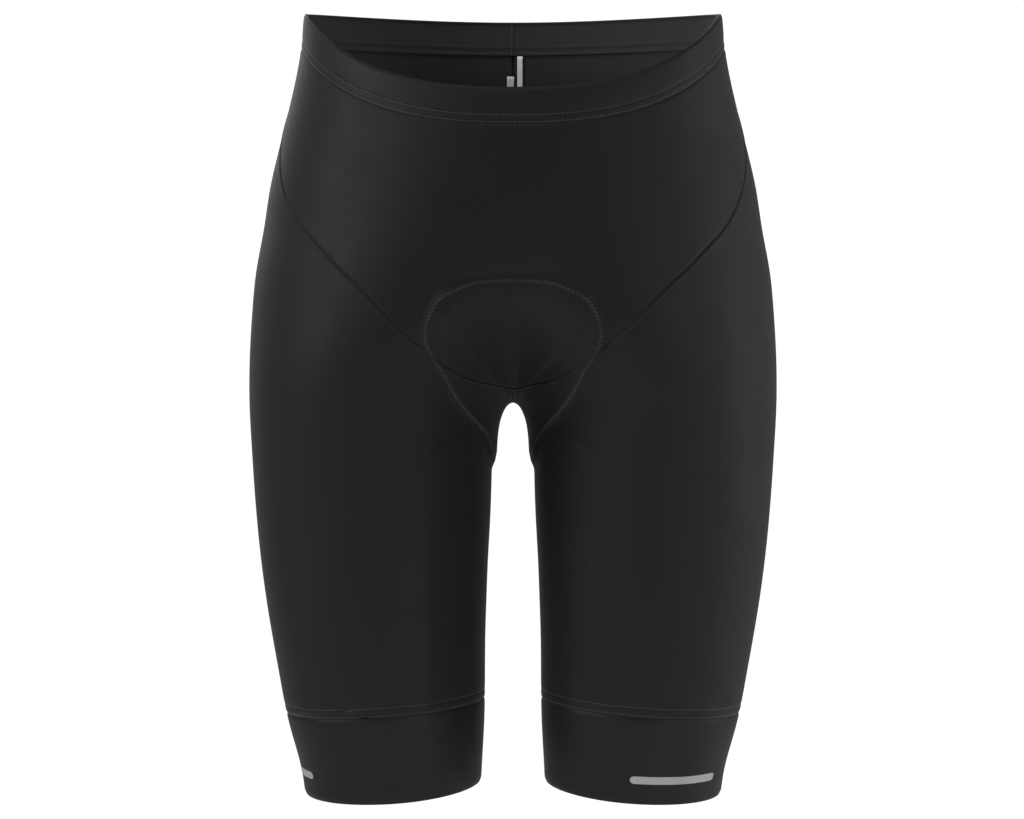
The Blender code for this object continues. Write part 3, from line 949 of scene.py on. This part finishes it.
def makeLegPanel(cloth, name, node, mirrored, tucks):
    ways = waysRound(-1, 1, cloth["columns"], cloth["columnsBySide"], cloth["columnCrowding"])
    shares = seamRows(cloth["rowsOver"], wall["rowsBySeam"], both=False)
    lower = seamRows(cloth["rowsUnder"], cloth["rowsBySeam"], both=False, crowding=cloth["crowding"])
    columns = []
    for way in ways:
        top = bandEdge(way) - wall["seamGap"] / 2
        if way <= frontCorner:
            top = min(top, seamLevel(way) - seamSpread(way) * wall["seamGap"] / 2)
        bottom = gripperSeamLevel(way) + wall["seamGap"] / 2
        upper = downTheWall(way, top, wall["crotch"], shares)
        under = downTheWall(way, wall["crotch"], bottom, lower)
        columns.append(np.concatenate([upper, under]))
    grid = np.stack(columns, 1)
    down, up = distancesDown(grid)
    spreads = np.array([seamSpread(way) if way <= frontCorner else 1.0 for way in ways])
    out = rolledEdge(down / spreads, *cloth["roll"]) + rolledEdge(up, *cloth["roll"])
    side = (1 - np.abs(ways)) * fullRound["front"]
    out = out + rolledEdge(side, *cloth["sideRoll"])[None, :]
    for row in cloth["rowsUp"]:
        out -= cloth["grooveDeep"] * bell(up - row, cloth["grooveWide"])
    high, where, wide = cloth["lip"]
    out += high * bell(down / spreads - where, wide) * (ways <= frontCorner)
    out += troughs(grid, ways, cloth["creases"] + tucks)
    half = finished(grid, out)
    half = (onOtherSide(half) if mirrored else half)[::-1]
    piece = clothSheet(name, half, cloth)
    tree = outerFace([piece])
    sewn = []
    for row in cloth["rowsUp"]:
        around = np.linspace(-1, 1, cloth["lineSteps"])
        line = lineRound(around, lambda way: gripperSeamLevel(way) + row)
        sewn += stitchRow(line, thread, tree, mirrored)
    stitches = sewnOn(name.replace("Cloth", "Stitches"), thread, sewn)
    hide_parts(node)
    for thing in (piece, stitches):
        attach(thing, "root")
    print(name, "made, area", round(clothArea(piece), 4), "stitches", len(sewn))
    return piece


leftLeg = makeLegPanel(legCloth, "leftLegCloth", "left_leg_panel", False, legCloth["tuckLeft"])
rightLeg = makeLegPanel(legCloth, "rightLegCloth", "right_leg_panel", True, legCloth["tuckRight"])

# Grippers: the denser band at the end of each leg.
gripperCloth = {
    "thickness": 1.3,
    "material": gripperKnit,
    "inside": lycraInside,
    "columns": 190,
    "rows": 30,
    "roll": (0.7, 1.1),
    "hemRoll": (0.8, 1.4),
    "flat": (0.38, 0.055),
}


def makeGripper(cloth, name, node, mirrored):
    ways = waysRound(-1, 1, cloth["columns"])
    shares = seamRows(cloth["rows"], wall["rowsBySeam"])
    columns = []
    for way in ways:
        top = gripperSeamLevel(way) - wall["seamGap"] / 2
        columns.append(downTheWall(way, top, hemLevel(way), shares))
    grid = np.stack(columns, 1)
    down, up = distancesDown(grid)
    out = rolledEdge(down, *cloth["roll"]) + rolledEdge(up, *cloth["hemRoll"])
    half = finished(grid, out)
    half = (onOtherSide(half) if mirrored else half)[::-1]
    piece = clothSheet(name, half, cloth)
    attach(piece, "root")
    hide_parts(node)
    print(name, "made, area", round(clothArea(piece), 4))


makeGripper(gripperCloth, "leftGripperCloth", "left_gripper", False)
makeGripper(gripperCloth, "rightGripperCloth", "right_gripper", True)

# Seat pad: soft foam under brushed cloth, sewn along its edge with a zigzag.
padFoam = {
    "thickness": 6.0,
    "edge": 0.4,
    "edgeWide": 9.0,
    "clearance": 0.25,
    "rows": 72,
    "columns": 22,
    "walkStep": 2.0,
    "walkSteps": 64,
    "walkRounds": 3,
    "channelWide": 5.0,
    "channelKeep": 0.62,
    "channelEnd": 30.0,
    "clothOver": 1.1,
    "stitchIn": 1.4,
    "stitchSmooth": 7,
    "zigzag": (2.6, 2.3),
    "zigzagThread": (1.1, 0.44, 0.36),  # how far each stitch overlaps the next, width, height
    "colour": (0.03, 0.031, 0.034),
    "roughness": 0.85,
    "specular": 0.2,
    "sheen": 0.4,
    "sheenRoughness": 0.5,
    "nap": 900.0,
    "napRoughness": 0.7,
    "tones": (0.75, 1.3),
    "strength": 0.4,
    "height": 0.15,
}


def riseLine(end, count):
    around, top = (-1, padShape["topFront"]) if end == "front" else (1, padShape["topBack"])
    return downTheWall(around, top - wall["least"], wall["crotch"], np.linspace(0, 1, count))


def walkSideways(starts, settings):
    # from the centre line along the wall, square to that line, for all rows at once
    across = np.array([1.0, 0.0, 0.0])
    facing = outward(starts)
    facing[:, 0] = 0
    facing = unit(facing)
    line, heading = [starts], np.broadcast_to(across, starts.shape)
    for _ in range(settings["walkSteps"]):
        point = line[-1] + heading * settings["walkStep"]
        for _ in range(settings["walkRounds"]):
            rise = slope(point)
            flat = across * rise[:, :1] + facing * (rise * facing).sum(-1, keepdims=True)
            point = point - flat * (field(point) / (flat**2).sum(-1))[:, None]
        heading = unit(point - line[-1])
        line.append(point)
    return np.stack(line, 1)


def makePad(pad):
    half = pad["rows"] // 2
    starts = np.concatenate([riseLine("front", half + 1), riseLine("back", half + 1)[-2::-1]])
    lines = walkSideways(starts, pad)
    beside = besidePad(lines)
    rows, edgeLine = [], []
    steps = np.arange(lines.shape[1])
    for line, inside in zip(lines, beside):
        over = np.argmax(inside < 0)
        end = over - 1 + inside[over - 1] / (inside[over - 1] - inside[over])
        wanted = np.linspace(0, end, pad["columns"] + 1)
        rows.append(np.column_stack([np.interp(wanted, steps, line[:, axis]) for axis in range(3)]))
        inner = max(end - pad["stitchIn"] / pad["walkStep"], 0)
        edgeLine.append([np.interp(inner, steps, line[:, axis]) for axis in range(3)])
    grid = np.array(rows)
    laid = grid + outward(grid) * (padLift(grid) - pad["clothOver"] - pad["clearance"])[..., None]
    piece = clothSheet("seatPadFoam", bothSides(laid)[::-1], pad)
    flat = bothSides(grid)[::-1]
    inside, across = insidePad(flat), flat[..., 0]
    share = pad["edge"] + (1 - pad["edge"]) * smoothStep(inside / pad["edgeWide"])
    channel = bell(across, pad["channelWide"]) * smoothStep(inside / pad["channelEnd"])
    share *= 1 - (1 - pad["channelKeep"]) * channel
    group = piece.vertex_groups.new(name="foam")
    for index, value in enumerate(share.reshape(-1)):
        group.add([index], float(value), "REPLACE")
    foam = piece.modifiers["thickness"]
    foam.vertex_group = "foam"
    foam.thickness_vertex_group = 0.0
    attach(piece, "root")
    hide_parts("seat_pad")
    print("pad made, vertices", len(piece.data.vertices), "of", share.size)
    return grid, np.array(edgeLine)


def padMaterial(name, finish):
    made, nodes, links, shader = newMaterial(name, finish)
    place3d = addNode(nodes, "ShaderNodeTexCoord")
    fibres = {"Scale": finish["nap"], "Detail": 3.0, "Roughness": finish["napRoughness"]}
    nap = addNode(nodes, "ShaderNodeTexNoise", fibres)
    links.new(place3d.outputs["Object"], nap.inputs["Vector"])
    addTone(nodes, links, shader, nap.outputs["Fac"], finish["colour"], finish["tones"])
    addRelief(nodes, links, shader, nap.outputs["Fac"], finish["strength"], finish["height"])
    return made


padFoam["material"] = padMaterial("brushedMicrofibre", padFoam)
padGrid, padEdge = makePad(padFoam)


def makePadStitches(pad):
    # down the front top edge from the centre, round the side, and back to the centre behind
    inset = pad["stitchIn"]
    topRow = padGrid[0, :-2] - (0, 0, inset)
    backRow = padGrid[-1, -3::-1] - (0, 0, inset)
    line = spaced(np.concatenate([topRow, padEdge[2:-2], backRow]), 1.0)[0]
    reach = pad["stitchSmooth"]
    mirrored = line * (-1, 1, 1)
    padded = np.concatenate([mirrored[reach - 1 :: -1], line, mirrored[: -reach - 1 : -1]])
    line = sum(padded[i : i + len(line)] for i in range(2 * reach + 1)) / (2 * reach + 1)
    rise = slope(line)
    line = line - rise * (field(line) / (rise**2).sum(-1))[:, None]
    pitch, swing = pad["zigzag"]
    middle, ahead = spaced(line, pitch / 2)
    beside = np.cross(outward(middle), ahead)
    swings = np.where(np.arange(len(middle)) % 2 == 0, 1.0, -1.0)[:, None]
    heading = unit(ahead * pitch / 2 + beside * swings * swing)
    sewn, middle = [], finished(middle)
    for side in (1.0, -1.0):
        turn = np.array([side, 1.0, 1.0])
        sewn += laidOn(middle * turn, heading * turn, sewnThrough, thread["sunk"])
    over, wide, high = pad["zigzagThread"]
    settings = {**thread, "long": math.hypot(pitch / 2, swing) * over, "wide": wide, "high": high}
    stitches = sewnOn("padStitches", settings, sewn)
    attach(stitches, "root")
    print("pad sewn on:", len(sewn), "stitches")


sewnThrough = outerFace([frontPanel, leftLeg, rightLeg])
makePadStitches(padFoam)

# Care label: a blank white tape on the inside under the waistband, and a small grey transfer beside it.
label = {
    "wide": 3.8,
    "long": 48.0,
    "across": 5.0,
    "thickness": 0.35,
    "clearance": 0.6,
    "rows": 24,
    "columns": 6,
    "curl": 0.5,
    "colour": (0.86, 0.86, 0.85),
}
transfer = {
    "wide": 5.0,
    "from": -27.5,
    "to": -42.0,
    "across": -1.6,
    "rows": 7,
    "columns": 6,
    "clearance": 0.5,
    "colour": (0.72, 0.72, 0.72),
    "thickness": 0.12,
}
tapeWeave = {
    "roughness": 0.7,
    "specular": 0.3,
    "rib": 700.0,
    "wavy": 0.3,
    "tones": (0.93, 1.0),
    "strength": 0.3,
    "height": 0.04,
}


def tapeMaterial(name, colour):
    finish = {**tapeWeave, "colour": colour}
    made, nodes, links, shader = newMaterial(name, finish)
    uv = addNode(nodes, "ShaderNodeUVMap", uv_map="cloth")
    ribs = {"Scale": finish["rib"], "Distortion": finish["wavy"]}
    rib = addNode(nodes, "ShaderNodeTexWave", ribs, bands_direction="Y")
    links.new(uv.outputs["UV"], rib.inputs["Vector"])
    addTone(nodes, links, shader, rib.outputs["Fac"], colour, finish["tones"])
    addRelief(nodes, links, shader, rib.outputs["Fac"], finish["strength"], finish["height"])
    return made


def stripInside(levels, strip, depth):
    half = strip["wide"] / 2
    grid = []
    for level in levels:
        acrossAt, alongAt, walked = (line[0] for line in halfRound([level], "back"))
        row = []
        for way in strip["across"] + np.linspace(-half, half, strip["columns"] + 1):
            wanted = walked[-1] - abs(way)
            x = math.copysign(np.interp(wanted, walked, acrossAt), way)
            row.append((x, np.interp(wanted, walked, alongAt), level))
        grid.append(row)
    grid = np.array(grid)
    return grid - outward(grid) * np.broadcast_to(depth, grid.shape[:2])[..., None]


def makeLabel(tape):
    top = bandEdge(1) - tape["clearance"]
    levels = np.linspace(top, top - tape["long"], tape["rows"] + 1)
    curl = tape["curl"] * np.linspace(0, 1, len(levels)) ** 2
    depth = legCloth["thickness"] + tape["clearance"] + curl
    grid = stripInside(levels, tape, depth[:, None])
    piece = clothSheet("careLabelTape", grid[::-1, ::-1], tape)
    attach(piece, "root")
    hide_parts("care_label")
    print("label made, area", clothArea(piece))


label["material"] = tapeMaterial("whiteTape", label["colour"])
makeLabel(label)


def makeTransfer(patch):
    levels = np.linspace(patch["from"], patch["to"], patch["rows"] + 1)
    grid = stripInside(levels, patch, legCloth["thickness"] + patch["clearance"])
    piece = clothSheet("greyTransfer", grid[::-1, ::-1], patch)
    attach(piece, "root")
    print("transfer made")


transfer["material"] = tapeMaterial("greyPrint", transfer["colour"])
makeTransfer(transfer)

# A plain reflective bar on each gripper.
bar = {
    "long": 66.0,
    "high": 5.0,
    "up": 16.0,
    "leftAround": -0.36,
    "rightAround": -0.02,
    "lineSteps": 400,
    "rows": 8,
    "columns": 60,
    "proud": 0.1,
    "thickness": 0.16,
    "colour": (0.26, 0.26, 0.27),
    "roughness": 0.35,
    "specular": 0.5,
    "beads": 2500.0,
    "gloss": (0.3, 0.5),
}


def makeBar(name, settings, around, mirrored):
    ways = np.linspace(-1, 1, settings["lineSteps"])
    level, half = settings["up"], settings["high"] / 2
    walked = walkedAlong(lineRound(ways, lambda way: hemLevel(way) + level))
    middle = np.interp(around, ways, walked)
    rows = []
    for share in np.linspace(-1, 1, settings["rows"] + 1):
        reach = settings["long"] / 2 - half * (1 - math.sqrt(max(1 - share**2, 0)))
        wanted = np.linspace(middle - reach, middle + reach, settings["columns"] + 1)
        rowWays = np.interp(wanted, walked, ways)
        rows.append([place(hemLevel(way) + level + share * half, way) for way in rowWays])
    grid = finished(np.array(rows), settings["proud"])
    piece = clothSheet(name, onOtherSide(grid) if mirrored else grid, settings)
    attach(piece, "root")
    print(name, "made")


def barMaterial(name, finish):
    made, nodes, links, shader = newMaterial(name, finish)
    place3d = addNode(nodes, "ShaderNodeTexCoord")
    beads = addNode(nodes, "ShaderNodeTexNoise", {"Scale": finish["beads"], "Detail": 1.0})
    links.new(place3d.outputs["Object"], beads.inputs["Vector"])
    ends = dict(zip(("To Min", "To Max"), finish["gloss"]))
    addGloss(nodes, links, shader, beads.outputs["Fac"], ends)
    return made


bar["material"] = barMaterial("reflectiveFilm", bar)
makeBar("leftBar", bar, bar["leftAround"], False)
makeBar("rightBar", bar, bar["rightAround"], True)

# Pale floor and backdrop in one sweep, and soft lights.
studio = {
    "floorLevel": -1050,
    "near": -4200,
    "far": 3000,
    "bend": 1400,
    "bendSteps": 12,
    "high": 3600,
    "halfWide": 5200,
    "colour": (0.6, 0.6, 0.6),
    "roughness": 0.9,
    "specular": 0.1,
    # how bright the sweep and the room look to the camera, and how much light they cast
    "sweepSeen": 0.9,
    "sweepCast": 0.12,
    "roomSeen": 0.95,
    "roomCast": 0.03,
    "lights": {
        # name: place, aimed at, width and height, all in metres, and power
        "rightSoftbox": ((1.9, 0.2, 0.0), (0.0, 0.0, -0.26), 0.8, 2.2, 20.0),
        "leftSoftbox": ((-1.7, -0.75, 0.5), (0.0, 0.0, -0.24), 0.8, 1.6, 36.0),
        "rightFront": ((1.1, -1.2, -0.25), (0.0, 0.0, -0.28), 0.4, 1.4, 11.0),
        "topLight": ((0.0, -0.7, 1.7), (0.0, 0.0, -0.05), 1.0, 0.6, 9.0),
        "lowFill": ((0.0, -0.55, -0.98), (0.0, 0.0, -0.3), 1.0, 0.4, 2.2),
        "backFill": ((-0.9, 1.7, 0.9), (0.0, 0.0, -0.2), 1.6, 1.6, 18.0),
    },
}


def seenAndCast(tree, socket, seen, cast):
    path = addNode(tree.nodes, "ShaderNodeLightPath")
    share = addNode(tree.nodes, "ShaderNodeMapRange", {"To Min": cast, "To Max": seen})
    tree.links.new(path.outputs["Is Camera Ray"], share.inputs["Value"])
    tree.links.new(share.outputs["Result"], socket)


def makeSweep(settings):
    shape = bmesh.new()
    profile = [(settings["near"], settings["floorLevel"])]
    reach = settings["bend"]
    for turn in np.linspace(0, math.pi / 2, settings["bendSteps"] + 1):
        up = settings["floorLevel"] + reach * (1 - math.cos(turn))
        profile.append((settings["far"] + reach * math.sin(turn), up))
    profile.append((profile[-1][0], settings["high"]))
    verts = [shape.verts.new(Vector((-settings["halfWide"], along, up)) * mm) for along, up in profile]
    edges = [shape.edges.new(pair) for pair in zip(verts, verts[1:])]
    pulled = bmesh.ops.extrude_edge_only(shape, edges=edges)
    moved = [item for item in pulled["geom"] if isinstance(item, bmesh.types.BMVert)]
    bmesh.ops.translate(shape, verts=moved, vec=Vector((2 * settings["halfWide"] * mm, 0, 0)))
    bmesh.ops.recalc_face_normals(shape, faces=shape.faces)
    for face in shape.faces:
        face.smooth = True
    made, _, _, shader = newMaterial("paleSweep", settings)
    shader.inputs["Emission Color"].default_value = (1, 1, 1, 1)
    strength = shader.inputs["Emission Strength"]
    seenAndCast(made.node_tree, strength, settings["sweepSeen"], settings["sweepCast"])
    sweep = pieceOf("studioSweep", shape, made)


def makeLights(settings):
    for name, (where, aim, wide, high, power) in settings["lights"].items():
        data = bpy.data.lights.new(name, "AREA")
        data.shape = "RECTANGLE"
        data.size, data.size_y = wide, high
        data.energy = power
        light = bpy.data.objects.new(name, data)
        light.location = where
        light.rotation_euler = (Vector(aim) - Vector(where)).to_track_quat("-Z", "Y").to_euler()
        bpy.context.scene.collection.objects.link(light)
    world = bpy.data.worlds.new("studio")
    bpy.context.scene.world = world
    world.use_nodes = True
    room = world.node_tree.nodes["Background"]
    room.inputs["Color"].default_value = (1, 1, 1, 1)
    seenAndCast(world.node_tree, room.inputs["Strength"], settings["roomSeen"], settings["roomCast"])
    bpy.context.scene.view_settings.view_transform = "Standard"
    bpy.context.scene.view_settings.look = "None"


makeSweep(studio)
makeLights(studio)
print("studio lit")
